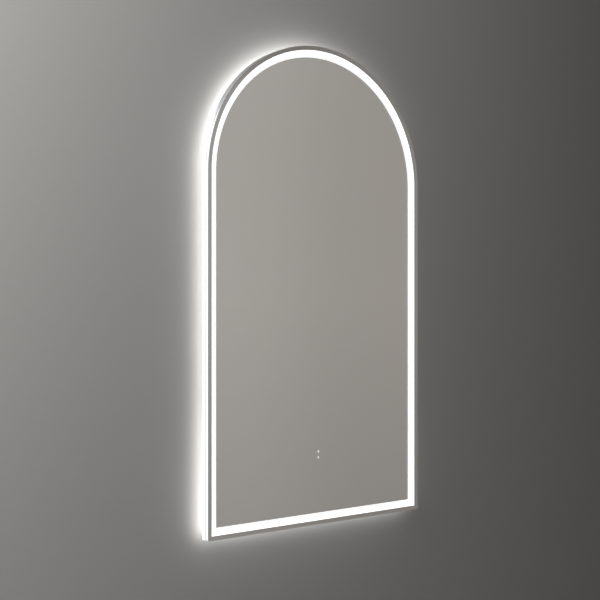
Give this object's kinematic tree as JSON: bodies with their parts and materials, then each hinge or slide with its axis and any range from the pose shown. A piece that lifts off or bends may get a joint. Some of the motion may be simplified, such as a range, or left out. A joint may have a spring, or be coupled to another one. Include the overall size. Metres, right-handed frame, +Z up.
{
  "type": "lighted bathroom mirror",
  "caption": "Wall-hung arched bathroom mirror with a frosted light strip round its edge, a wall wash light behind and a lift-off rail.",
  "frame": {"origin": "middle of the wall rail's line of screw holes, on the wall face, level with the centre of the arch", "axes": "+Z up, +Y into the wall, -Y out of the mirror's face, +X to the right of someone who looks at the mirror"},
  "size_m": [0.5, 0.0409, 0.8999],
  "materials": {
    "clear_glass": "polished, ground edge",
    "silvering": "silver behind glass, warm grey reflection",
    "rim_bright": "bright-rolled and lacquered strip",
    "opal_front": "opal acrylic, lit",
    "opal_rear": "opal acrylic, lit",
    "foam_tape": "closed-cell foam",
    "anodised": "satin anodised extrusion",
    "zinc_key": "bright zinc plate",
    "screw_steel": "zinc-plated",
    "tape_board": "white flexible circuit",
    "phosphor": "silicone with phosphor",
    "led_chip": "phosphor under silicone",
    "panel_steel": "fine-textured off-white powder coat",
    "black_rubber": "matt",
    "zinc_steel": "galvanised sheet, fine spangle",
    "brass_stud": "turned",
    "white_plastic": "fine-textured moulding",
    "circuit_green": "solder mask",
    "terminal_body": "natural polyamide",
    "heating_film": "polyester film over foil tracks",
    "light_guide": "clear acrylic, lit",
    "lead_white": "PVC",
    "lead_red": "PVC",
    "lead_black": "PVC",
    "lead_earth": "PVC, green and yellow",
    "clip_nylon": "natural nylon"
  },
  "bodies": {
    "wall_bracket": {"wall_rail": "zinc_steel"},
    "mirror": {"mirror_glass": "clear_glass", "rim_lens": "opal_front", "silver_rim": "rim_bright", "silver_pane": "silvering", "front_diffuser": "opal_front", "bonding_tape": "foam_tape", "arch_profile": "anodised", "bottom_profile": "anodised", "corner_key_left": "zinc_key", "corner_key_right": "zinc_key", "corner_key_screws": "screw_steel", "front_led_tape": "tape_board", "front_led_bead": "phosphor", "rear_led_tape": "tape_board", "rear_led_chips": "led_chip", "rear_diffuser_arch": "opal_rear", "rear_diffuser_bottom": "opal_rear", "back_panel": "panel_steel", "panel_screws": "screw_steel", "cable_grommet": "black_rubber", "wall_bumpers": "black_rubber", "earth_stud": "brass_stud", "earth_nut": "screw_steel", "driver_case": "white_plastic", "driver_lid": "white_plastic", "driver_board": "circuit_green", "driver_screws": "screw_steel", "terminal_block": "terminal_body", "terminal_screws": "screw_steel", "demister_pad": "heating_film", "touch_case": "white_plastic", "touch_board": "circuit_green", "touch_light_guides": "light_guide", "supply_lead": "lead_white", "front_led_lead": "lead_red", "rear_led_lead": "lead_black", "demister_lead": "lead_white", "touch_lead": "lead_black", "earth_lead": "lead_earth", "lead_clips": "clip_nylon", "mirror_hanger": "zinc_steel", "hanger_rivets": "anodised"}
  },
  "joints": [
    {"name": "mirror_lift", "type": "slide", "parent": "wall_bracket", "child": "mirror", "axis": [0, 0, 1], "range_m": [0, 0.015]}
  ]
}
